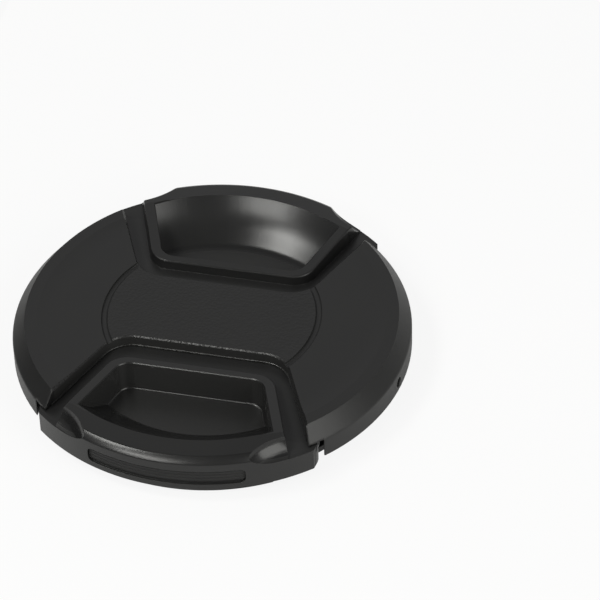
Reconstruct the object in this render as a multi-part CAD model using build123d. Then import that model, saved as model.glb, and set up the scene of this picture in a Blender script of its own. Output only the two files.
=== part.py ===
from build123d import *
import os
from math import cos, radians, sin, sqrt, tan

# A centre-pinch lens cap for a 58 mm filter thread, lying face up. Millimetres, +Z through the face.
# The origin is on the cap's axis, at the foot of the skirt it rests on. The tabs slide along Y.

# Filter thread that the cap closes
thread_radius = 29.0
thread_pitch = 0.75

# Cap body: the face, its sloping rim and its side wall
cap_height = 9.0
rim_overhang = 1.5
bevel_width = 1.96
bevel_drop = 2.54
bevel_round = 0.5
rim_foot = 3.0
foot_round = 0.25
face_wall = 1.4
side_wall = 1.4
dish_depth = 0.15
dish_ramp = 3.0
rim_land = 1.8

# Grained disc in the middle of the face, bounded by a groove
disc_radius = 15.85
groove_width = 1.0
groove_depth = 0.35

# Slots in the face for the tabs, with a lip hanging down round each
slot_inner = 7.1
slot_half_width = 13.1
slot_flare = 24.0
slot_corner = 5.0
slot_edge = 0.2
lip_wall = 1.1

# Hole for a tether in the side wall
tether_radius = 0.85
tether_height = 4.7
tether_angle = -9.6

# Pinch tabs: flange that slides under the lips
slide_gap = 0.2
tab_travel = 3.0
tab_proud = 0.9
tab_drop = 0.4
tab_half_width = 21.2
tab_wall = 1.3
ledge_rise = 0.65
ledge_run = 15.0
tab_end_length = 2.4
tab_end_taper = 0.4
bridge_overlap = 1.8
ear_width = 2.5
ear_length = 3.2
notch_gap = 0.8
notch_round = 0.5

# Pinch tabs: raised rim round the finger pocket
rim_gap = 4.0
rim_side_gap = 2.6
rim_flare = 20.0
rim_corner = 3.6
rim_slope = 6.0
rim_width = 1.3
rim_drop = 0.65
rim_level_inset = 3.0
rim_round = 0.3
mouth_edge = 0.15

# Pinch tabs: finger pocket and its scooped outer wall
rim_side_width = 1.12
pocket_flare = 19.8
pocket_corner = 2.6
pocket_draft = 2.0
pocket_round = 0.4
floor_wall = 1.15
floor_length = 8.4
thumb_width = 3.8
scoop_sag = 0.46
scoop_bend = 3.0
core_wall = 1.3
thumb_drop = 0.5
thumb_round = 1.3

# Pinch tabs: nicks at the outer corners
nick_angle = 33.3
nick_offset = 8.4
nick_radius = 10.8
nick_round = 3.2

# Pinch tabs: ribbed grip on the outer face
grip_half_length = 12.0
grip_margin = 1.0
grip_height = 2.65
grip_corner = 0.9
grip_depth = 0.35
grip_rib_count = 4
grip_rib_height = 0.1

# Pinch tabs: lug that bites in the filter thread
lug_half_width = 15.0
lug_bite = 0.5
lug_wall = 2.3
lug_foot = 0.1
thread_depth = 0.4
thread_count = 3

# Coil springs between the tabs
spring_inset = 6.2
spring_radius = 1.6
wire_radius = 0.25
wire_sides = 8
spring_turns = 6
spigot_length = 1.5
seat_gap = 0.05

# Back plate, its skirt, guides and spring cradles
plate_wall = 1.0
skirt_play = 1.4
skirt_wall = 1.3
skirt_depth = 1.0
skirt_gap = 0.3
skirt_lap = 0.6
guide_wall = 1.2
guide_inset = 0.8
guide_drop = 0.6
stop_gap = 0.15
cradle_wall = 0.8
window_gap = 0.3

# Posts under the face that are staked through the back plate
post_radius = 1.7
post_inner_offset = 5.5
post_skirt_gap = 0.3
stake_radius = 0.9
stake_gap = 0.05
stake_head_radius = 1.5
stake_head_height = 0.4

# Heights that follow from the sizes above
plate_foot = skirt_depth
plate_top = plate_foot + plate_wall
tab_foot = plate_top + slide_gap
pocket_floor = tab_foot + floor_wall
pocket_depth = cap_height - pocket_floor
lip_foot = cap_height - bevel_drop
ledge_top = lip_foot - slide_gap
tab_rim_foot = rim_foot - tab_drop
grip_foot = tab_rim_foot + grip_margin
spring_height = (plate_top + lip_foot) / 2

# Radii and places that follow from the sizes above
face_radius = thread_radius + rim_overhang
skirt_radius = thread_radius - skirt_play
lug_crest = thread_radius + lug_bite
lug_inner = lug_crest - lug_wall
tab_reach = face_radius + tab_proud
tab_inner = slot_inner - bridge_overlap
notch_half_width = tab_half_width + notch_gap
rim_inner = slot_inner + rim_gap
rim_side_shift = rim_gap * tan(radians(slot_flare)) - rim_side_gap / cos(radians(slot_flare))
rim_half_width = slot_half_width + rim_side_shift
pocket_inner = rim_inner + rim_width
pocket_half_width = rim_half_width - rim_side_width
scoop_start = pocket_inner + floor_length
scoop_end = tab_reach - thumb_width
scoop_run = scoop_end - scoop_start
scoop_length = sqrt(scoop_run**2 + pocket_depth**2)
rim_level_at = scoop_end - rim_level_inset
nick_centre = tab_reach + nick_offset
spring_offset = tab_half_width - spring_inset
post_outer_offset = skirt_radius - skirt_wall - post_skirt_gap - stake_head_radius
beyond = 2 * face_radius


def revolved(*points):
    """Solid of revolution about the cap's axis from an outline of radii and heights."""
    return revolve(make_face(Plane.XZ * Polyline(*points, close=True)), Axis.Z)


def flared(inner, half_width, flare, corner):
    """Outline open towards the rim: a straight inner edge, round corners and sides that spread."""
    spread = half_width + (beyond - inner) * tan(radians(flare))
    edge = Polyline(
        (-half_width, inner), (half_width, inner), (spread, beyond), (-spread, beyond), close=True
    )
    outline = make_face(edge)
    return fillet(outline.vertices().sort_by(Axis.Y)[:2], corner)


def block(x_from, x_to, y_from, y_to, z_from, z_to):
    """Box between two corners."""
    size = Box(x_to - x_from, y_to - y_from, z_to - z_from, align=(Align.MIN,) * 3)
    return Pos(x_from, y_from, z_from) * size


def both_sides(shape):
    """A shape and its mirror image across the YZ plane."""
    return shape + mirror(shape, Plane.YZ)


def both_ends(shape):
    """A shape and its copy turned half round the cap's axis."""
    return shape + Rot(0, 0, 180) * shape


def rod(x, y, z_from, z_to, radius):
    """Upright round rod."""
    standing = (Align.CENTER, Align.CENTER, Align.MIN)
    return Pos(x, y, z_from) * Cylinder(radius, z_to - z_from, align=standing)


def over_ledge(level):
    """The space over the tabs' ledge: raised at the slot's inner edge, falling to a level outwards."""
    raised = level + ledge_rise
    top = level + cap_height
    outline = Polyline(
        (0, raised),
        (slot_inner, raised),
        (slot_inner + ledge_run, level),
        (beyond, level),
        (beyond, top),
        (0, top),
        close=True,
    )
    return extrude(make_face(Plane.YZ * outline), beyond, both=True)


# Cap body


def face_outside():
    """The solid inside the face's outer skin: dished face, flat land, sloping rim, side wall."""
    land_outer = face_radius - bevel_width
    land_inner = land_outer - rim_land
    dish_edge = (land_inner - dish_ramp, cap_height - dish_depth)
    walls = Polyline(
        dish_edge,
        (0, cap_height - dish_depth),
        (0, rim_foot),
        (face_radius, rim_foot),
        (face_radius, lip_foot),
        (land_outer, cap_height),
        (land_inner, cap_height),
    )
    ramp = TangentArc(dish_edge, (land_inner, cap_height), tangent=(1, 0))
    outline = make_face(Plane.XZ * (walls + ramp))
    foot_corner = outline.vertices().sort_by_distance((face_radius, 0, rim_foot))[0]
    outline = fillet(foot_corner, foot_round)
    bevel_corner = outline.vertices().sort_by_distance((face_radius, 0, lip_foot))[0]
    return revolve(fillet(bevel_corner, bevel_round), Axis.Z)


def face_inside():
    """The hollow behind the face, as deep as the walls leave it."""
    inside_radius = face_radius - side_wall
    bevel_slope = bevel_drop / bevel_width
    ceiling = cap_height - face_wall
    shoulder = lip_foot - side_wall / 2
    return revolved(
        (0, 0),
        (inside_radius, 0),
        (inside_radius, shoulder),
        (inside_radius - (ceiling - shoulder) / bevel_slope, ceiling),
        (0, ceiling),
    )


def slot_outline():
    return flared(slot_inner, slot_half_width, slot_flare, slot_corner)


def slot_cutter():
    """A slot right through the face, with its upper edge broken."""
    through = extrude(slot_outline(), cap_height + slot_edge)
    edge_foot = cap_height - dish_depth - slot_edge
    broken_edge = extrude(Pos(0, 0, edge_foot) * slot_outline(), 2 * slot_edge, taper=-45)
    return through + broken_edge


def make_cap_body():
    outside = face_outside()
    lip_outline = offset(slot_outline(), lip_wall)
    lip = extrude(Pos(0, 0, lip_foot) * lip_outline, cap_height - lip_foot)
    lip = lip & outside & over_ledge(lip_foot)
    posts = Part()
    for offset_x in (post_inner_offset, post_outer_offset):
        post = rod(offset_x, 0, plate_top, cap_height - face_wall, post_radius)
        post += rod(offset_x, 0, plate_foot - stake_head_height, plate_top, stake_radius)
        post += rod(offset_x, 0, plate_foot - stake_head_height, plate_foot, stake_head_radius)
        posts += both_sides(post)
    body = outside - face_inside()
    body += both_ends(lip)
    body += posts
    body -= both_ends(slot_cutter())
    lip_inner_foot = lip_foot + ledge_rise
    notch = block(-notch_half_width, notch_half_width, slot_inner, beyond, 0, lip_inner_foot)
    notch -= over_ledge(lip_foot)
    round_side = notch_half_width + notch_round
    round_top = rim_foot + notch_round
    corner = block(notch_half_width, round_side, slot_inner, beyond, rim_foot, round_top)
    lying = Cylinder(notch_round, 2 * beyond, rotation=(90, 0, 0))
    corner -= Pos(round_side, beyond, round_top) * lying
    notch += both_sides(corner)
    body -= both_ends(notch)
    groove_outer = disc_radius + groove_width
    groove_foot = cap_height - dish_depth - groove_depth
    body -= revolved(
        (disc_radius, cap_height),
        (disc_radius, groove_foot),
        (groove_outer, groove_foot),
        (groove_outer, cap_height),
    )
    hole = Cylinder(tether_radius, 2 * side_wall, rotation=(0, 90, 0))
    hole_middle = face_radius - side_wall / 2
    body -= Rot(0, 0, tether_angle) * (Pos(hole_middle, 0, tether_height) * hole)
    return body


# Pinch tabs, modelled with the rim towards +Y


def flange():
    """The plate that slides under the lips, its turned-down outer wall, and the ears that stop it."""
    sides = make_face(
        Polyline(
            (-tab_half_width, tab_inner),
            (tab_half_width, tab_inner),
            (tab_half_width, beyond),
            (-tab_half_width, beyond),
            close=True,
        )
    )
    corner = sqrt(tab_reach**2 - tab_half_width**2)
    end_cut = make_face(
        Polyline(
            (tab_half_width, corner - tab_end_length / 2),
            (tab_half_width + tab_end_taper, corner - tab_end_length / 2),
            (tab_half_width + tab_end_taper, corner + 2 * tab_end_length),
            (tab_half_width - tab_end_taper, corner + tab_end_length / 2),
            close=True,
        )
    )
    outline = sides & Circle(tab_reach)
    outline -= both_sides(end_cut)
    ledge_inner_top = ledge_top + ledge_rise
    plate = extrude(Pos(0, 0, ledge_top - tab_wall) * outline, tab_wall + ledge_rise)
    skirt = outline - Circle(tab_reach - tab_wall)
    plate += extrude(Pos(0, 0, tab_rim_foot) * skirt, ledge_inner_top - tab_rim_foot)
    inner_wall = tab_inner + tab_wall
    plate += block(-tab_half_width, tab_half_width, tab_inner, inner_wall, tab_foot, ledge_inner_top)
    ear_outer = tab_half_width + ear_width
    ear_end = tab_inner + ear_length
    ear = block(0, ear_outer, tab_inner, ear_end, ledge_top - tab_wall, ledge_inner_top)
    return plate + both_sides(ear) - over_ledge(ledge_top)


def thumb_limit():
    """Solid of revolution that bounds the tab's raised part: outer face, rounded edge and sloping top."""
    edge_height = cap_height - thumb_drop
    wall_inside = tab_reach - tab_wall
    outline = make_face(
        Plane.XZ
        * Polyline(
            (0, tab_foot),
            (wall_inside, tab_foot),
            (wall_inside, tab_rim_foot),
            (tab_reach, tab_rim_foot),
            (tab_reach, edge_height),
            (scoop_end, cap_height),
            (0, cap_height),
            close=True,
        )
    )
    corner = outline.vertices().sort_by(Axis.X)[-2:].sort_by(Axis.Z)[-1]
    return revolve(fillet(corner, thumb_round), Axis.Z)


def raised_rim():
    """The walls round the finger pocket, still solid: sloping flanks, and a top that falls inwards."""
    height = cap_height - ledge_top
    flank = height * tan(radians(rim_slope))
    outline = flared(rim_inner - flank, rim_half_width + flank, rim_flare, rim_corner + flank)
    upper = extrude(Pos(0, 0, ledge_top) * outline, height, taper=rim_slope)
    lower = extrude(Pos(0, 0, tab_foot) * outline, ledge_top - tab_foot)
    rise = rim_drop / (rim_level_at - rim_inner)
    falling_top = Plane.YZ * Polyline(
        (0, cap_height - rise * rim_level_at), (rim_level_at, cap_height), (0, cap_height), close=True
    )
    wedge = extrude(make_face(falling_top), beyond, both=True)
    rim = ((upper + lower) & thumb_limit()) - wedge
    nearly_level = cos(radians(rim_slope + rim_flare))
    nearly_upright = sin(radians(rim_slope + rim_flare))
    tops = rim.faces().filter_by(lambda face: face.normal_at().Z > nearly_level)
    flanks = rim.faces().filter_by(lambda face: abs(face.normal_at().Z) < nearly_upright)
    return fillet(tops.edges() & flanks.edges(), rim_round)


def finger_pocket():
    """The hollow for a fingertip: steep sides, flat floor, and a slope that steepens to the outer edge."""
    mouth = flared(pocket_inner, pocket_half_width, pocket_flare, pocket_corner)
    walls = extrude(Pos(0, 0, cap_height) * mouth, pocket_depth, dir=(0, 0, -1), taper=pocket_draft)
    bend_radius = (scoop_start + scoop_end) / 2 + scoop_sag * pocket_depth / scoop_length
    bend_height = pocket_floor + pocket_depth / 2 - scoop_sag * scoop_run / scoop_length
    section = make_face(
        Plane.XZ
        * Polyline(
            (0, pocket_floor),
            (scoop_start, pocket_floor),
            (bend_radius, bend_height),
            (scoop_end, cap_height),
            (0, cap_height),
            close=True,
        )
    )
    bend = section.vertices().sort_by_distance((bend_radius, 0, bend_height))[0]
    scoop = revolve(fillet(bend, scoop_bend), Axis.Z)
    pocket = walls & scoop
    floor_edges = pocket.edges().group_by(Axis.Z)[0].sort_by(Axis.Y)[:-1]
    return fillet(floor_edges, pocket_round)


def core():
    """Hollow under the scoop that keeps its wall even, open downwards beside the lug."""
    depth = core_wall + scoop_sag
    radius = scoop_start + depth * pocket_depth / scoop_length
    height = pocket_floor - depth * scoop_run / scoop_length
    rise = pocket_depth / scoop_run
    start = radius + (tab_foot - height) / rise
    hollow = revolved(
        (start, tab_foot),
        (lug_inner, tab_foot),
        (lug_inner, height + (lug_inner - radius) * rise),
    )
    return hollow & block(-lug_half_width, lug_half_width, 0, beyond, 0, cap_height)


def nick():
    """Round dished cutter for the outer corner on the +X side, its floor level with the flange."""
    cutter = rod(0, nick_centre, ledge_top, ledge_top + cap_height, nick_radius)
    cutter = fillet(cutter.edges().sort_by(Axis.Z)[0], nick_round)
    return Rot(0, 0, -nick_angle) * cutter


def grip():
    """Shallow recess with round corners on the outer face, and the ribs that stand in it."""
    outline = RectangleRounded(2 * grip_half_length, grip_height, grip_corner)
    outline = Plane.XZ * (Pos(0, grip_foot + grip_height / 2) * outline)
    window = extrude(outline, -beyond)
    floor_radius = tab_reach - grip_depth
    shell = revolved((floor_radius, 0), (beyond, 0), (beyond, cap_height), (floor_radius, cap_height))
    pitch = grip_height / (grip_rib_count + 1)
    half_rib = pitch / 3
    ribs = Part()
    for i in range(grip_rib_count):
        middle = grip_foot + pitch * (i + 1)
        ribs += revolved(
            (floor_radius - grip_rib_height, middle - half_rib),
            (floor_radius, middle - half_rib),
            (floor_radius + grip_rib_height, middle),
            (floor_radius, middle + half_rib),
            (floor_radius - grip_rib_height, middle + half_rib),
        )
    return window & shell, window & ribs


def lug():
    """Curved lug below the flange, with short thread ridges on its outer face."""
    root = lug_crest - thread_depth
    top = ledge_top - tab_wall
    wall = revolved((lug_inner, lug_foot), (root, lug_foot), (root, top), (lug_inner, top))
    for i in range(thread_count):
        middle = lug_foot + thread_pitch * (i + 1)
        wall += revolved(
            (lug_inner, middle - thread_pitch / 2),
            (root, middle - thread_pitch / 2),
            (lug_crest, middle),
            (root, middle + thread_pitch / 2),
            (lug_inner, middle + thread_pitch / 2),
        )
    return wall & block(-lug_half_width, lug_half_width, 0, beyond, 0, cap_height)


def make_tab():
    whole = flange() + raised_rim()
    pocket = finger_pocket()
    tab = whole - pocket
    mouth_floor = cap_height - rim_drop - rim_round
    mouth = new_edges(whole, pocket, combined=tab)
    tab = chamfer(mouth.filter_by(lambda e: e.bounding_box().min.Z > mouth_floor), mouth_edge)
    tab -= both_sides(nick())
    recess, ribs = grip()
    tab -= recess
    tab += ribs
    tab -= core()
    tab += lug()
    spigot_radius = spring_radius - 2 * wire_radius - slide_gap
    spigot = Cylinder(spigot_radius, spigot_length, rotation=(90, 0, 0))
    spigot = Pos(spring_offset, tab_inner - spigot_length / 2, spring_height) * spigot
    return tab + both_sides(spigot)


# Springs


def make_spring():
    """Plain coil along Y, its ends just short of the two tabs."""
    half_length = tab_inner - wire_radius - seat_gap
    coil_radius = spring_radius - wire_radius
    path = Helix(2 * half_length / spring_turns, 2 * half_length, coil_radius)
    section = Plane(origin=path @ 0, z_dir=path % 0) * RegularPolygon(wire_radius, wire_sides)
    coil = sweep(section, path=path)
    return Pos(0, half_length, spring_height) * (Rot(90, 0, 0) * coil)


# Back plate


def make_back_plate():
    plate = rod(0, 0, plate_foot, plate_top, skirt_radius)
    skirt_top = rim_foot + skirt_lap
    ring = rod(0, 0, 0, skirt_top, skirt_radius) - rod(0, 0, 0, skirt_top, skirt_radius - skirt_wall)
    skirt_start = notch_half_width + skirt_gap
    plate += both_sides(ring & block(skirt_start, beyond, -beyond, beyond, 0, cap_height))
    window = block(-lug_half_width - window_gap, lug_half_width + window_gap, 0, beyond, 0, cap_height)
    window -= rod(0, -tab_travel, 0, cap_height, lug_inner - window_gap)
    plate -= both_ends(window)
    guide_inner = tab_half_width + slide_gap
    guide_start = tab_inner + ear_length + stop_gap
    guide_outer = guide_inner + guide_wall
    guide_end = sqrt(skirt_radius**2 - guide_outer**2) - guide_inset
    guide_top = ledge_top - guide_drop
    guide = block(guide_inner, guide_outer, guide_start, guide_end, plate_top, guide_top)
    plate += both_ends(both_sides(guide))
    cradle_side = spring_radius + slide_gap
    cradle_half = tab_inner - tab_travel - 2 * slide_gap
    cradle_outer = cradle_side + cradle_wall
    rib = block(cradle_side, cradle_outer, -cradle_half, cradle_half, plate_top, spring_height)
    cradle = Pos(spring_offset, 0, 0) * both_sides(rib)
    plate += both_sides(cradle)
    for offset_x in (post_inner_offset, post_outer_offset):
        plate -= both_sides(rod(offset_x, 0, 0, cap_height, stake_radius + stake_gap))
    return plate


os.makedirs("parts", exist_ok=True)
rear_tab = make_tab()
right_spring = Pos(spring_offset, 0, 0) * make_spring()
pieces = {
    "cap_body": make_cap_body(),
    "back_plate": make_back_plate(),
    "front_tab": Rot(0, 0, 180) * rear_tab,
    "rear_tab": rear_tab,
    "left_spring": Rot(0, 0, 180) * right_spring,
    "right_spring": right_spring,
}
for name, shape in pieces.items():
    export_step(shape, f"parts/{name}.step")
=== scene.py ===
from math import cos, pi, radians, sin, tan

import bmesh
import bpy
from mathutils import Matrix, Vector


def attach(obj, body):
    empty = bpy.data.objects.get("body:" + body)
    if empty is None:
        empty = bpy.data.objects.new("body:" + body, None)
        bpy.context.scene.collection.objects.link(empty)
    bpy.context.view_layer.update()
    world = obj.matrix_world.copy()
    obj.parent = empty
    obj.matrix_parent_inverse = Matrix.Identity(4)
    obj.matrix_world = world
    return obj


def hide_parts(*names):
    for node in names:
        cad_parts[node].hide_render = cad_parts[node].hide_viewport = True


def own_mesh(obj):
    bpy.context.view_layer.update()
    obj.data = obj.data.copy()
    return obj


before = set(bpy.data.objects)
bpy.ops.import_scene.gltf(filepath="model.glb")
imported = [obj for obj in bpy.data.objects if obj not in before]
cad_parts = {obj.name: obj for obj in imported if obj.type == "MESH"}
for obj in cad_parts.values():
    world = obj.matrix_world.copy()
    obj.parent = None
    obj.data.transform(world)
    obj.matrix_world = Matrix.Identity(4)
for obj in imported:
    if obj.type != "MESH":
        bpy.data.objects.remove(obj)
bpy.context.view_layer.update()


# Cap body
# The face of the cap is one black ABS moulding with a sloping rim and a side wall. Its skin is fine
# spark-eroded satin, and the disc in the middle carries a leather grain that was etched in the mould.

mm = 0.001


def feed(tree, socket, value):
    """Links a socket, or sets a plain value."""
    if isinstance(value, bpy.types.NodeSocket):
        tree.links.new(value, socket)
    else:
        socket.default_value = value


def add_node(tree, kind, inputs=None, **settings):
    """Adds a shader node with its settings and inputs."""
    node = tree.nodes.new("ShaderNode" + kind)
    for name, value in settings.items():
        setattr(node, name, value)
    for name, value in (inputs or {}).items():
        feed(tree, node.inputs[name], value)
    return node


def calc(tree, operation, *values, clamp=False):
    """Works out a number from other numbers."""
    node = add_node(tree, "Math", dict(enumerate(values)), operation=operation, use_clamp=clamp)
    return node.outputs[0]


def calc_way(tree, operation, *ways):
    """Works out a direction, or its measure, from directions."""
    node = add_node(tree, "VectorMath", dict(enumerate(ways)), operation=operation)
    return node.outputs["Value" if operation in ("DOT_PRODUCT", "LENGTH") else "Vector"]


def stretch(tree, way, amount):
    """Makes a direction longer or shorter."""
    return add_node(tree, "VectorMath", {0: way, "Scale": amount}, operation="SCALE").outputs["Vector"]


def part_of(tree, way, axis):
    """The part of a place or direction along one axis."""
    return add_node(tree, "SeparateXYZ", {0: way}).outputs[axis]


def spread(tree, value, source, target=(0.0, 1.0), curve="LINEAR"):
    """Maps a value from one range to another, and holds it inside."""
    ranges = {"From Min": source[0], "From Max": source[1], "To Min": target[0], "To Max": target[1]}
    node = add_node(tree, "MapRange", {"Value": value} | ranges, interpolation_type=curve)
    return node.outputs["Result"]


def both(tree, first, second):
    """Where two masks meet."""
    return calc(tree, "MULTIPLY", first, second)


def blend(tree, share, first, second, kind="RGBA"):
    """Mixes two colours, or two directions, by a share."""
    mix = add_node(tree, "Mix", data_type=kind)
    for name, value in (("Factor", share), ("A", first), ("B", second)):
        feed(tree, mix.inputs[name], value)
    return mix.outputs["Result"]


def emboss(tree, height, strength, depth, normal=None, invert=False):
    """Raises the shading by a height, on top of another normal where there is one."""
    raised = {"Height": height, "Strength": strength, "Distance": depth}
    bump = add_node(tree, "Bump", raised, invert=invert)
    if normal is not None:
        feed(tree, bump.inputs["Normal"], normal)
    return bump.outputs["Normal"]


def new_material(name):
    """A material with its node tree and its main shader."""
    material = bpy.data.materials.new(name)
    material.use_nodes = True
    return material, material.node_tree, material.node_tree.nodes["Principled BSDF"]


def finish(tree, shader, tone, gloss, normal, shine):
    """Sets colour, roughness, normal and the strength of reflections on a shader."""
    sockets = {"Base Color": tone, "Roughness": gloss, "Normal": normal, "Specular IOR Level": shine}
    for name, value in sockets.items():
        feed(tree, shader.inputs[name], value)


def new_group(name, inputs, outputs):
    """A node group with its sockets."""
    group = bpy.data.node_groups.new(name, "ShaderNodeTree")
    for socket, kind in inputs:
        group.interface.new_socket(socket, in_out="INPUT", socket_type="NodeSocket" + kind)
    for socket, kind in outputs:
        group.interface.new_socket(socket, in_out="OUTPUT", socket_type="NodeSocket" + kind)
    return group, group.nodes.new("NodeGroupInput").outputs, group.nodes.new("NodeGroupOutput").inputs


drift_size = 9.0 * mm
drift_range = (0.15, 0.85)
fleck_size = 0.35 * mm
fleck_range = (0.42, 0.66)
edge_samples = 8
edge_turn = (0.985, 0.85)


def make_skin_group():
    """Moulded skin: a fine even grain, slow drifts from the flow of the plastic, and small flecks."""
    group, given, result = new_group(
        "moulded_skin",
        [("Vector", "Vector"), ("Grain", "Float")],
        [("Height", "Float"), ("Drift", "Float"), ("Fleck", "Float")],
    )
    density = calc(group, "DIVIDE", 1.0, given["Grain"])
    grain = add_node(group, "TexNoise", {"Vector": given["Vector"], "Scale": density, "Detail": 3.0})
    drift = add_node(group, "TexNoise", {"Vector": given["Vector"], "Scale": 1 / drift_size, "Detail": 1.0})
    fleck = add_node(group, "TexNoise", {"Vector": given["Vector"], "Scale": 1 / fleck_size, "Detail": 2.0})
    feed(group, result["Height"], grain.outputs["Fac"])
    feed(group, result["Drift"], spread(group, drift.outputs["Fac"], drift_range))
    feed(group, result["Fleck"], spread(group, fleck.outputs["Fac"], fleck_range))
    return group


def make_edge_group():
    """Rounds the look of sharp edges over a small radius, and marks where they are."""
    sockets_out = [("Normal", "Vector"), ("Edge", "Float")]
    group, given, result = new_group("rounded_edges", [("Radius", "Float")], sockets_out)
    rounded = add_node(group, "Bevel", {"Radius": given["Radius"]}, samples=edge_samples).outputs["Normal"]
    surface = add_node(group, "NewGeometry").outputs["Normal"]
    agreement = calc_way(group, "DOT_PRODUCT", rounded, surface)
    feed(group, result["Normal"], rounded)
    feed(group, result["Edge"], spread(group, agreement, edge_turn))
    return group


moulded_skin = make_skin_group()
rounded_edges = make_edge_group()


def place_skin(tree, place, grain):
    """Puts the moulded skin into a material."""
    return add_node(tree, "Group", {"Vector": place, "Grain": grain}, node_tree=moulded_skin).outputs


def place_edges(tree, radius):
    """Puts the rounded edges into a material."""
    return add_node(tree, "Group", {"Radius": radius}, node_tree=rounded_edges).outputs


def find_place(tree):
    """The place of the shaded point on its piece."""
    return add_node(tree, "TexCoord").outputs["Object"]


def see_from_above(tree, place):
    """A place seen from above, and its radius from the cap's axis."""
    plan = calc_way(tree, "MULTIPLY", place, (1, 1, 0))
    return plan, calc_way(tree, "LENGTH", plan)


def find_facing(tree):
    """How far the surface faces up: 1 where it is level, 0 where it is upright."""
    return part_of(tree, add_node(tree, "NewGeometry").outputs["Normal"], "Z")


def lean_out(tree, plan, tilt, where, normal):
    """Leans the shading away from the cap's axis by a tilt, where a form is rounder than its facets."""
    level = stretch(tree, calc_way(tree, "NORMALIZE", plan), calc(tree, "SINE", tilt))
    upright = add_node(tree, "CombineXYZ", {"Z": calc(tree, "COSINE", tilt)}).outputs["Vector"]
    return blend(tree, where, normal, calc_way(tree, "ADD", level, upright), "VECTOR")


deep_black = (0.0112, 0.0112, 0.0114, 1)
pale_black = (0.0132, 0.0132, 0.0130, 1)
# Upright walls in the slots and the finger pocket are painted paler: painted light.
wall_painted_light_grey = (0.021, 0.021, 0.0205, 1)
black_shine = 0.4
full_range = (0.0, 1.0)
wall_facing = (0.4, 0.2)


def mottled_black(tree, skin):
    """The black of the plastic, with its slow drift."""
    return blend(tree, skin["Drift"], deep_black, pale_black)


disc_radius = 15.85 * mm
groove_width = 1.0 * mm
groove_lean = radians(50)
groove_foot_facing = 0.95
face_height = 8.4 * mm
slot_reach = 28.3 * mm
rim_inside = (28.6 * mm, 28.9 * mm)
face_edge_rounds = (0.07 * mm, 0.45 * mm)
chamfer_facing = 0.707
chamfer_slack = 0.03
face_grain = 0.09 * mm
face_skin_strength = 0.2
face_skin_depth = 0.015 * mm
pebble_size = 0.45 * mm
pebble_softness = 0.6
pebble_wander = 0.4 * mm
wander_size = 0.8 * mm
leather_strength = 0.45
leather_depth = 0.12 * mm
leather_dulling = 0.06
rubbed_face_grey = (0.045, 0.045, 0.043, 1)
face_gloss = (0.40, 0.46)
face_polish = (0.10, 0.23)


def make_pebbles(tree, place):
    """The rounded pebbles of a leather grain, whose seams wander."""
    wander = add_node(tree, "TexNoise", {"Vector": place, "Scale": 1 / wander_size, "Detail": 1.0})
    bent = calc_way(tree, "ADD", place, stretch(tree, wander.outputs["Color"], pebble_wander))
    pebbles = {"Vector": bent, "Scale": 1 / pebble_size, "Smoothness": pebble_softness}
    return add_node(tree, "TexVoronoi", pebbles, feature="SMOOTH_F1").outputs["Distance"]


def make_face_plastic():
    """Black satin with a grained disc, a round ring groove, rubbed edges, and painted light on the slot
    walls.
    """
    material, tree, shader = new_material("face_plastic")
    place = find_place(tree)
    plan, radius = see_from_above(tree, place)
    facing = find_facing(tree)
    skin = place_skin(tree, place, face_grain)
    edges = place_edges(tree, spread(tree, radius, rim_inside, face_edge_rounds))

    ring = calc(tree, "COMPARE", radius, disc_radius + groove_width / 2, groove_width / 2)
    groove = both(tree, ring, calc(tree, "GREATER_THAN", facing, groove_foot_facing))
    groove_sides = (disc_radius, disc_radius + groove_width)
    groove_tilt = spread(tree, radius, groove_sides, (groove_lean, -groove_lean))
    normal = lean_out(tree, plan, groove_tilt, groove, edges["Normal"])
    inside_disc = calc(tree, "LESS_THAN", radius, disc_radius)
    on_face = calc(tree, "GREATER_THAN", part_of(tree, place, "Z"), face_height)
    leather = both(tree, make_pebbles(tree, place), both(tree, inside_disc, on_face))
    normal = emboss(tree, leather, leather_strength, leather_depth, normal, invert=True)
    normal = emboss(tree, skin["Height"], face_skin_strength, face_skin_depth, normal)

    at_slots = calc(tree, "LESS_THAN", radius, slot_reach)
    slot_walls = both(tree, at_slots, spread(tree, facing, wall_facing))
    worn = both(tree, edges["Edge"], skin["Fleck"])
    tone = blend(tree, worn, mottled_black(tree, skin), rubbed_face_grey)
    # Painted light: the upright slot walls are painted paler.
    tone = blend(tree, slot_walls, tone, wall_painted_light_grey)

    chamfers = both(tree, at_slots, calc(tree, "COMPARE", facing, chamfer_facing, chamfer_slack))
    bright = calc(tree, "MAXIMUM", edges["Edge"], chamfers)
    rubbed = both(tree, bright, spread(tree, skin["Fleck"], full_range, face_polish))
    gloss = calc(tree, "SUBTRACT", spread(tree, skin["Drift"], full_range, face_gloss), rubbed)
    gloss = calc(tree, "ADD", gloss, calc(tree, "MULTIPLY", leather, leather_dulling))
    finish(tree, shader, tone, gloss, normal, black_shine)
    return material


face_plastic = make_face_plastic()
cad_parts["cap_body"].material_slots[0].material = face_plastic


# Lip beads
# Where the halves of the mould met, a fine round bead of plastic runs along the lower edge of each slot's
# lip. It belongs to the face's moulding. Its inner run is rubbed bright, and its sides are dull.

slot_inner = 7.1 * mm
slot_half_width = 13.1 * mm
slot_flare = radians(24.0)
slot_corner = 5.0 * mm
lip_inner_foot = 7.11 * mm
ledge_rise = 0.65 * mm
ledge_run = 15.0 * mm
bead_radius = 0.16 * mm
bead_segments = 10
bead_drop = 0.02 * mm
bead_side = 12.5 * mm
bead_corner_steps = 10
bead_grain = 0.2 * mm
bead_skin_strength = 0.4
bead_skin_depth = 0.02 * mm
bead_dull_to_bright = (11.0 * mm, 8.0 * mm)
bead_black = (0.010, 0.010, 0.010, 1)
bead_rubbed_grey = (0.05, 0.05, 0.048, 1)
bead_gloss = (0.95, 0.24)
bead_polish = 0.06
bead_shine = 0.45


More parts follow.
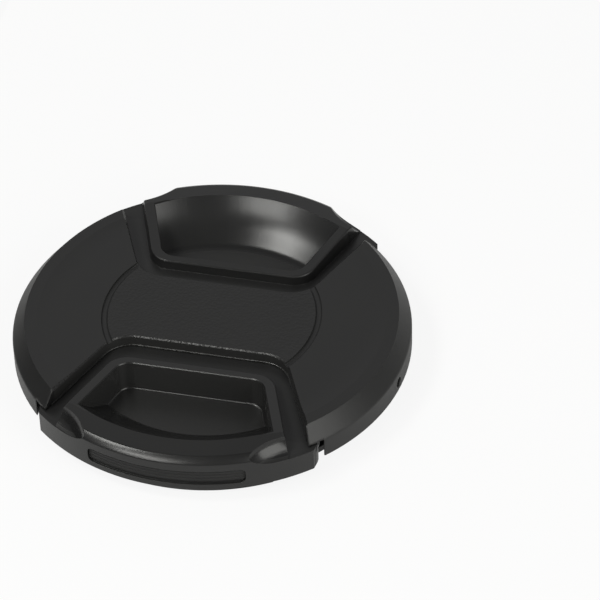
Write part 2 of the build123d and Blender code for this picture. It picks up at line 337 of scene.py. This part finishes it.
def place_piece(name, work, material):
    """Turns a finished bmesh into a smooth object at the origin."""
    bmesh.ops.recalc_face_normals(work, faces=work.faces)
    for face in work.faces:
        face.smooth = True
    mesh = bpy.data.meshes.new(name)
    work.to_mesh(mesh)
    work.free()
    mesh.materials.append(material)
    piece = bpy.data.objects.new(name, mesh)
    bpy.context.scene.collection.objects.link(piece)
    return piece


def run_on(work, ring, step):
    """Carries a ring of edges straight on and returns its new ring."""
    grown = bmesh.ops.extrude_edge_only(work, edges=ring)["geom"]
    corners = [part for part in grown if isinstance(part, bmesh.types.BMVert)]
    bmesh.ops.translate(work, verts=corners, vec=step)
    return [part for part in grown if isinstance(part, bmesh.types.BMEdge) and part.is_boundary]


def bend_on(work, ring, middle, angle, steps):
    """Carries a ring of edges round an upright axis and returns its new ring."""
    bent = bmesh.ops.spin(work, geom=ring, cent=middle, axis=(0, 0, 1), angle=angle, steps=steps)
    return [part for part in bent["geom_last"] if isinstance(part, bmesh.types.BMEdge)]


def make_bead_plastic():
    """Black plastic, rubbed bright in flecks along the bead's inner run."""
    material, tree, shader = new_material("bead_plastic")
    place = find_place(tree)
    skin = place_skin(tree, place, bead_grain)
    normal = emboss(tree, skin["Height"], bead_skin_strength, bead_skin_depth)
    inner = spread(tree, calc(tree, "ABSOLUTE", part_of(tree, place, "Y")), bead_dull_to_bright)
    bright = both(tree, inner, skin["Fleck"])
    tone = blend(tree, bright, bead_black, bead_rubbed_grey)
    gloss = spread(tree, inner, full_range, bead_gloss)
    gloss = calc(tree, "SUBTRACT", gloss, calc(tree, "MULTIPLY", bright, bead_polish))
    finish(tree, shader, tone, gloss, normal, bead_shine)
    return material


def make_lip_bead(name, turned):
    """Sweeps a bead along the inner side, the corners and the flared sides of a slot."""
    turn = pi / 2 - slot_flare
    straight = slot_half_width - slot_corner * tan(turn / 2)
    corner_y = slot_inner + slot_corner
    side_run = Vector((sin(slot_flare), cos(slot_flare), 0)) * bead_side
    work = bmesh.new()
    upright = Matrix.Rotation(pi / 2, 4, "Y")
    bmesh.ops.create_circle(work, segments=bead_segments, radius=bead_radius, matrix=upright)
    bmesh.ops.translate(work, verts=work.verts, vec=(-straight, slot_inner, lip_inner_foot - bead_drop))
    first = work.edges[:]
    ring = run_on(work, first, (2 * straight, 0, 0))
    ring = bend_on(work, ring, (straight, corner_y, 0), turn, bead_corner_steps)
    run_on(work, ring, side_run)
    ring = bend_on(work, first, (-straight, corner_y, 0), -turn, bead_corner_steps)
    run_on(work, ring, (-side_run.x, side_run.y, 0))
    bmesh.ops.holes_fill(work, edges=[edge for edge in work.edges if edge.is_boundary], sides=0)
    for vert in work.verts:
        vert.co.z -= (vert.co.y - slot_inner) * ledge_rise / ledge_run
    if turned:
        bmesh.ops.rotate(work, verts=work.verts, cent=(0, 0, 0), matrix=Matrix.Rotation(pi, 3, "Z"))
    bead = place_piece(name, work, bead_plastic)
    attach(bead, "body")


bead_plastic = make_bead_plastic()
make_lip_bead("rear_lip_bead", False)
make_lip_bead("front_lip_bead", True)


# Pinch tabs
# Each tab is one ABS moulding from a better polished mould, and slides under the lips. The slope of its
# finger pocket is a hollow curve with faint radial draw marks, and its outer edge is rolled for the thumb.

tab_names = ("front_tab", "rear_tab")
tab_edge_rounds = (0.1 * mm, 0.03 * mm)
nick_aside = (0.36, 0.40)
nick_inside = (26.0 * mm, 26.6 * mm)
scoop_facing_from = (0.5, 0.6)
scoop_facing_to = (0.95, 0.88)
scoop_inward = -0.45
scoop_foot = (20.8 * mm, 22.0 * mm)
scoop_foot_share = 0.25
scoop_bend = (22.8 * mm, 26.8 * mm)
scoop_slopes = (radians(-33.5), radians(-46.5))
mark_turns = 150.0
mark_strength = 0.28
mark_depth = 0.03 * mm
mark_dulling = 0.06
roll_inside = (30.15 * mm, 30.3 * mm)
roll_start = 30.27 * mm
roll_top = 8.65 * mm
roll_width = 1.13 * mm
roll_depth = 1.29 * mm
roll_low = (6.7 * mm, 7.2 * mm)
roll_straight = (0.97, 0.985)
roll_dulling = 0.3
thumb_slope = radians(7.5)
roll_bends = (((0.1, 0.4), radians(24.5)), ((0.4, 1.7), radians(16.0)), ((1.7, 2.0), radians(42.0)))
grip_top = 6.9 * mm
grip_floor = 31.05 * mm
grip_reach = 0.24 * mm
grip_dulling = 0.08
pocket_middle = 19.0 * mm
pocket_floor_below = 5.0 * mm
pocket_foot = (21.0 * mm, 20.0 * mm)
level_facing = (0.96, 0.985)
sloped_facing = (0.985, 0.96)
outer_side = (27.6 * mm, 28.2 * mm)
tab_grain = 0.08 * mm
tab_skin_strength = 0.12
tab_skin_depth = 0.01 * mm
rubbed_tab_grey = (0.040, 0.040, 0.038, 1)
# The pocket's low level floor is painted paler: painted light in the recess.
pocket_floor_painted_light_grey = (0.0160, 0.0160, 0.0157, 1)
# The grip recess is painted darker: painted shade.
grip_painted_shade_black = (0.0110, 0.0110, 0.0109, 1)
tab_gloss = (0.36, 0.41)
tab_polish = 0.18


def find_scoop(tree, facing, outward):
    """Marks the slope of the finger pocket, which leans towards the cap's axis."""
    slope = both(tree, spread(tree, facing, scoop_facing_from), spread(tree, facing, scoop_facing_to))
    return both(tree, slope, calc(tree, "LESS_THAN", outward, scoop_inward))


def find_scoop_tilt(tree, radius):
    """The tilt of the slope as one hollow curve, which runs out softly into the pocket's floor."""
    tilt = spread(tree, radius, scoop_bend, scoop_slopes, "SMOOTHSTEP")
    run_out = spread(tree, radius, scoop_foot, (scoop_foot_share, 1.0), "SMOOTHSTEP")
    return calc(tree, "MULTIPLY", tilt, run_out)


def find_roll(tree, radius, height, facing, outward):
    """Marks the rolled edge, as far as the nicks, whose surface turns to the side."""
    straight = calc(tree, "ADD", calc(tree, "POWER", facing, 2.0), calc(tree, "POWER", outward, 2.0))
    roll = both(tree, spread(tree, straight, roll_straight), spread(tree, height, roll_low))
    return both(tree, roll, spread(tree, radius, roll_inside))


def find_roll_tilt(tree, radius, height):
    """The tilt round the rolled edge, which bends slowly in its middle and fast at its ends."""
    outwards = calc(tree, "DIVIDE", calc(tree, "SUBTRACT", radius, roll_start), roll_width)
    downwards = calc(tree, "DIVIDE", calc(tree, "SUBTRACT", roll_top, height), roll_depth)
    way_round = calc(tree, "ADD", outwards, downwards)
    tilt = thumb_slope
    for span, bend in roll_bends:
        tilt = calc(tree, "ADD", tilt, spread(tree, way_round, span, (0.0, bend)))
    return tilt


def find_pocket(tree, plan, surface):
    """Marks what faces the middle of the finger pocket."""
    side = calc(tree, "SIGN", part_of(tree, plan, "Y"))
    middle = add_node(tree, "CombineXYZ", {"Y": calc(tree, "MULTIPLY", side, pocket_middle)})
    from_middle = calc_way(tree, "SUBTRACT", plan, middle.outputs["Vector"])
    return calc(tree, "LESS_THAN", calc_way(tree, "DOT_PRODUCT", surface, from_middle), 0.0)


def make_tab_plastic():
    """Smooth black satin, polished in the pocket and on the outer side, with a duller ribbed grip."""
    material, tree, shader = new_material("tab_plastic")
    place = find_place(tree)
    plan, radius = see_from_above(tree, place)
    across = part_of(tree, place, "X")
    along = part_of(tree, place, "Y")
    height = part_of(tree, place, "Z")
    facing = find_facing(tree)
    surface = add_node(tree, "NewGeometry").outputs["Normal"]
    outward = calc(tree, "DIVIDE", calc_way(tree, "DOT_PRODUCT", surface, plan), radius)
    skin = place_skin(tree, place, tab_grain)
    aside = calc(tree, "ABSOLUTE", calc(tree, "DIVIDE", across, along))
    nick = both(tree, spread(tree, aside, nick_aside), spread(tree, radius, nick_inside))
    edges = place_edges(tree, spread(tree, nick, full_range, tab_edge_rounds))

    scoop = find_scoop(tree, facing, outward)
    normal = lean_out(tree, plan, find_scoop_tilt(tree, radius), scoop, edges["Normal"])
    roll = find_roll(tree, radius, height, facing, outward)
    normal = lean_out(tree, plan, find_roll_tilt(tree, radius, height), roll, normal)
    turn = calc(tree, "MULTIPLY", calc(tree, "ARCTAN2", across, along), mark_turns)
    draw = add_node(tree, "TexNoise", {"W": turn, "Scale": 1.0, "Detail": 4.0}, noise_dimensions="1D")
    marks = both(tree, draw.outputs["Fac"], scoop)
    normal = emboss(tree, marks, mark_strength, mark_depth, normal)
    normal = emboss(tree, skin["Height"], tab_skin_strength, tab_skin_depth, normal)

    worn = both(tree, edges["Edge"], skin["Fleck"])
    pocket = find_pocket(tree, plan, surface)
    pocket_walls = both(tree, pocket, spread(tree, facing, wall_facing))
    low = calc(tree, "LESS_THAN", height, pocket_floor_below)
    pocket_floor = both(tree, low, spread(tree, facing, level_facing))
    below_roll = calc(tree, "LESS_THAN", height, grip_top)
    grip = both(tree, below_roll, calc(tree, "COMPARE", radius, grip_floor, grip_reach))
    tone = blend(tree, worn, mottled_black(tree, skin), rubbed_tab_grey)
    # Painted light: the upright pocket walls are painted paler.
    tone = blend(tree, pocket_walls, tone, wall_painted_light_grey)
    # Painted light: the pocket's floor is painted paler.
    tone = blend(tree, pocket_floor, tone, pocket_floor_painted_light_grey)
    # Painted shade: the grip recess is painted darker.
    tone = blend(tree, grip, tone, grip_painted_shade_black)

    outer = calc(tree, "SUBTRACT", spread(tree, radius, outer_side), grip, clamp=True)
    polished = both(tree, calc(tree, "MAXIMUM", pocket, outer), spread(tree, facing, sloped_facing))
    foot_edge = both(tree, edges["Edge"], spread(tree, radius, pocket_foot))
    polished = calc(tree, "SUBTRACT", polished, foot_edge, clamp=True)
    polished = calc(tree, "SUBTRACT", polished, calc(tree, "MULTIPLY", roll, roll_dulling), clamp=True)
    gloss = spread(tree, skin["Drift"], full_range, tab_gloss)
    gloss = calc(tree, "ADD", gloss, calc(tree, "MULTIPLY", marks, mark_dulling))
    gloss = calc(tree, "SUBTRACT", gloss, calc(tree, "MULTIPLY", polished, tab_polish))
    gloss = calc(tree, "ADD", gloss, calc(tree, "MULTIPLY", grip, grip_dulling))
    finish(tree, shader, tone, gloss, normal, black_shine)
    return material


tab_plastic = make_tab_plastic()
for tab in tab_names:
    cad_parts[tab].material_slots[0].material = tab_plastic


# Springs
# Two coil springs of bright drawn steel wire push the tabs apart. Each is wound as two like halves here.

spring_side = 15.0 * mm
spring_height = 4.23 * mm
coil_radius = 1.35 * mm
wire_radius = 0.25 * mm
wire_segments = 12
half_length = 5.25 * mm
open_turns = 2.75
closed_turns = 1.0
steps_per_turn = 24
line_density = (900.0, 9000.0, 900.0)
line_range = (0.3, 0.7)
line_strength = 0.2
line_depth = 0.01 * mm
stain_size = 2.0 * mm
cool_steel = (0.50, 0.50, 0.51, 1)
warm_steel = (0.62, 0.61, 0.59, 1)
steel_gloss = (0.18, 0.34)
steel_shine = 0.5


def make_spring_steel():
    """Bright steel with fine lines from drawing the wire, and faint stains."""
    material, tree, shader = new_material("spring_wire")
    place = find_place(tree)
    along_wire = add_node(tree, "Mapping", {"Vector": place, "Scale": line_density}).outputs["Vector"]
    lines = add_node(tree, "TexNoise", {"Vector": along_wire, "Scale": 1.0, "Detail": 3.0}).outputs["Fac"]
    stains = add_node(tree, "TexNoise", {"Vector": place, "Scale": 1 / stain_size, "Detail": 2.0})
    tone = blend(tree, stains.outputs["Fac"], cool_steel, warm_steel)
    gloss = spread(tree, lines, line_range, steel_gloss)
    feed(tree, shader.inputs["Metallic"], 1.0)
    finish(tree, shader, tone, gloss, emboss(tree, lines, line_strength, line_depth), steel_shine)
    return material


def make_half_spring(name, side, way):
    """Half a coil along Y from the middle, with its last turn closed up against the tab."""
    work = bmesh.new()
    bmesh.ops.create_circle(work, segments=wire_segments, radius=wire_radius)
    turn = Matrix.Rotation(pi / 2, 4, "X") @ Matrix.Rotation(pi / 2, 4, "Y")
    bmesh.ops.rotate(work, verts=work.verts, cent=(0, 0, 0), matrix=turn)
    bmesh.ops.translate(work, verts=work.verts, vec=(coil_radius, 0, 0))
    closed_length = closed_turns * 2 * wire_radius
    open_length = half_length - wire_radius - closed_length
    edges = work.edges[:]
    for turns, length in ((open_turns, open_length), (closed_turns, closed_length)):
        steps = round(turns * steps_per_turn)
        step = Vector((0, way * length / steps, 0))
        wound = bmesh.ops.spin(
            work, geom=edges, cent=(0, 0, 0), axis=(0, 1, 0), dvec=step, angle=turns * 2 * pi, steps=steps
        )
        edges = [part for part in wound["geom_last"] if isinstance(part, bmesh.types.BMEdge)]
    ends = [edge for edge in work.edges if edge.is_boundary]
    bmesh.ops.holes_fill(work, edges=ends, sides=0)
    bmesh.ops.translate(work, verts=work.verts, vec=(side * spring_side, 0, spring_height))
    return place_piece(name, work, spring_steel)


spring_steel = make_spring_steel()
for side, spring in ((-1, "left_spring"), (1, "right_spring")):
    for way, joint in ((-1, "front_tab_slide"), (1, "rear_tab_slide")):
        end = joint.split("_")[0]
        half = make_half_spring(f"{spring}_{end}_half", side, way)
        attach(half, "body")
        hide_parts(spring)
        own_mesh(half)


# Back plate
# The inner cover is a plainer moulding of the same plastic. Its mould was turned on a lathe, which leaves
# fine rings, and the four stakes of the face hold it.

plate_grain = 0.15 * mm
plate_edge_round = 0.1 * mm
plate_skin_strength = 0.25
plate_skin_depth = 0.02 * mm
ring_spacing = 2.0 * mm
ring_waver = 0.4
ring_strength = 0.15
ring_depth = 0.02 * mm
deep_plate_black = (0.0170, 0.0170, 0.0170, 1)
pale_plate_black = (0.0200, 0.0200, 0.0198, 1)
rubbed_plate_grey = (0.05, 0.05, 0.048, 1)
plate_gloss = (0.44, 0.54)


def make_plate_plastic():
    """Plain black satin with the rings of a turned mould."""
    material, tree, shader = new_material("plate_plastic")
    place = find_place(tree)
    skin = place_skin(tree, place, plate_grain)
    edges = place_edges(tree, plate_edge_round)
    turned = {"Vector": place, "Scale": 1 / ring_spacing, "Distortion": ring_waver}
    rings = add_node(tree, "TexWave", turned, wave_type="RINGS", rings_direction="Z").outputs["Fac"]
    normal = emboss(tree, rings, ring_strength, ring_depth, edges["Normal"])
    normal = emboss(tree, skin["Height"], plate_skin_strength, plate_skin_depth, normal)
    tone = blend(tree, skin["Drift"], deep_plate_black, pale_plate_black)
    tone = blend(tree, both(tree, edges["Edge"], skin["Fleck"]), tone, rubbed_plate_grey)
    finish(tree, shader, tone, spread(tree, skin["Drift"], full_range, plate_gloss), normal, black_shine)
    return material


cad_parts["back_plate"].material_slots[0].material = make_plate_plastic()


# Floor and lights
# A pale sheet of paper lies in a bright room, whose far wall shows as a soft gradient in the cap's face.
# Two small softboxes hang at the left, a large one stands at the right, and a black card stands at the left.

camera_turn = 15.77
floor_size = 3.0
floor_drop = 0.02 * mm
paper_white = (0.8, 0.8, 0.8, 1)
paper_roughness = 0.9
paper_seen = 0.88
paper_mirrored = 0.2


def white_share(tree, seen, mirrored):
    """How much of the white ground the camera sees, and how much shows in gloss, metal and glass."""
    path = add_node(tree, "LightPath").outputs
    bounced = calc(tree, "ADD", path["Is Glossy Ray"], path["Is Transmission Ray"])
    bounced = calc(tree, "MULTIPLY", bounced, mirrored)
    return calc(tree, "ADD", bounced, calc(tree, "MULTIPLY", path["Is Camera Ray"], seen))


def make_floor():
    """A level sheet of paper just under the cap, which the camera sees nearly white."""
    mesh = bpy.data.meshes.new("floor")
    work = bmesh.new()
    bmesh.ops.create_grid(work, x_segments=1, y_segments=1, size=floor_size / 2)
    bmesh.ops.translate(work, verts=work.verts, vec=(0, 0, -floor_drop))
    work.to_mesh(mesh)
    work.free()
    floor = bpy.data.objects.new("floor", mesh)
    bpy.context.scene.collection.objects.link(floor)
    material, tree, shader = new_material("floor_paper")
    feed(tree, shader.inputs["Base Color"], paper_white)
    feed(tree, shader.inputs["Roughness"], paper_roughness)
    glow = add_node(tree, "Emission")
    mix = add_node(tree, "MixShader", {0: white_share(tree, paper_seen, paper_mirrored)})
    feed(tree, mix.inputs[1], shader.outputs[0])
    feed(tree, mix.inputs[2], glow.outputs[0])
    feed(tree, tree.nodes["Material Output"].inputs["Surface"], mix.outputs[0])
    mesh.materials.append(material)


make_floor()

wall_foot = 0.0
wall_middle = 0.62
wall_top = 1.0
wall_dim = 0.2
wall_bright = 0.62
room_depth = (0.1, 0.75)
depth_levels = (0.4, 1.0)
room_white = (1, 1, 1, 1)
room_seen = 1.0
room_mirrored = 0.04


def make_room():
    """Soft light from all sides, brightest half way up the wall behind the cap."""
    world = bpy.data.worlds.new("bright_room")
    bpy.context.scene.world = world
    world.use_nodes = True
    room = world.node_tree
    way = add_node(room, "TexCoord").outputs["Generated"]
    height = part_of(room, way, "Z")
    turn = radians(camera_turn)
    far = calc_way(room, "DOT_PRODUCT", way, (-sin(turn), cos(turn), 0))
    rising = spread(room, height, (wall_foot, wall_middle), (wall_dim, wall_bright))
    falling = spread(room, height, (wall_middle, wall_top), (wall_bright, wall_dim))
    depth = spread(room, far, room_depth, depth_levels)
    level = calc(room, "MULTIPLY", calc(room, "MINIMUM", rising, falling), depth)
    light = room.nodes["Background"]
    feed(room, light.inputs["Strength"], level)
    feed(room, light.inputs["Color"], room_white)
    white = add_node(room, "Background", {"Color": room_white})
    mix = add_node(room, "MixShader", {0: white_share(room, room_seen, room_mirrored)})
    feed(room, mix.inputs[1], light.outputs[0])
    feed(room, mix.inputs[2], white.outputs[0])
    feed(room, room.nodes["World Output"].inputs["Surface"], mix.outputs[0])


make_room()

card_azimuth = -105
card_near = 0.055
card_length = 0.12
card_width = 0.18
card_height = 0.10
card_lift = 0.1 * mm
card_black = (0.02, 0.02, 0.02, 1)
card_roughness = 0.9


def make_card():
    """Black card at the left, out of the picture, that keeps a dark edge on the black cap."""
    card_middle = card_near + card_length / 2
    work = bmesh.new()
    bmesh.ops.create_grid(work, x_segments=1, y_segments=1, size=0.5)
    bmesh.ops.scale(work, verts=work.verts, vec=(card_width, card_length, 1))
    bmesh.ops.translate(work, verts=work.verts, vec=(0, card_middle, card_lift))
    far_edges = [edge for edge in work.edges if all(vert.co.y > card_middle for vert in edge.verts)]
    run_on(work, far_edges, (0, 0, card_height))
    turn = Matrix.Rotation(radians(camera_turn + card_azimuth) + pi, 3, "Z")
    bmesh.ops.rotate(work, verts=work.verts, cent=(0, 0, 0), matrix=turn)
    material, tree, shader = new_material("flag_card")
    feed(tree, shader.inputs["Base Color"], card_black)
    feed(tree, shader.inputs["Roughness"], card_roughness)
    card = place_piece("black_flag", work, material)
    card.visible_camera = False
    card.visible_shadow = False


make_card()

lamp_colour = (1.0, 1.0, 0.965)


def hang_softbox(name, azimuth, elevation, distance, width, height, power):
    """Area lamp that faces the cap, at an angle to the right of the camera and above the floor."""
    turn = radians(camera_turn + azimuth)
    rise = radians(elevation)
    way = Vector((sin(turn) * cos(rise), -cos(turn) * cos(rise), sin(rise)))
    lamp = bpy.data.lights.new(name, "AREA")
    lamp.shape = "RECTANGLE"
    lamp.size = width
    lamp.size_y = height
    lamp.energy = power
    lamp.color = lamp_colour
    holder = bpy.data.objects.new(name, lamp)
    holder.location = way * distance
    holder.rotation_mode = "QUATERNION"
    holder.rotation_quaternion = way.to_track_quat("Z", "Y")
    holder.visible_camera = False
    bpy.context.scene.collection.objects.link(holder)


hang_softbox("left_softbox", azimuth=-77, elevation=58, distance=0.6, width=0.18, height=0.14, power=1.3)
hang_softbox("front_softbox", azimuth=-42, elevation=43, distance=0.6, width=0.25, height=0.10, power=0.95)
hang_softbox("right_softbox", azimuth=45, elevation=27, distance=0.7, width=0.42, height=0.6, power=3.0)


# Camera
# The camera has a long lens. It stands where the photograph was taken from, above and in front of the cap
# and a little to its right, and it is rolled by about a degree, as the photograph is.

focal_length = 210.04
sensor_width = 36.0
camera_place = (0.10697, -0.37882, 0.36841)
camera_angles = (radians(47.734), radians(1.414), radians(12.516))

lens = bpy.data.cameras.new("camera")
lens.lens = focal_length
lens.sensor_width = sensor_width
camera = bpy.data.objects.new("camera", lens)
camera.location = camera_place
camera.rotation_euler = camera_angles
bpy.context.scene.collection.objects.link(camera)
bpy.context.scene.camera = camera
bpy.context.scene.view_settings.view_transform = "Standard"
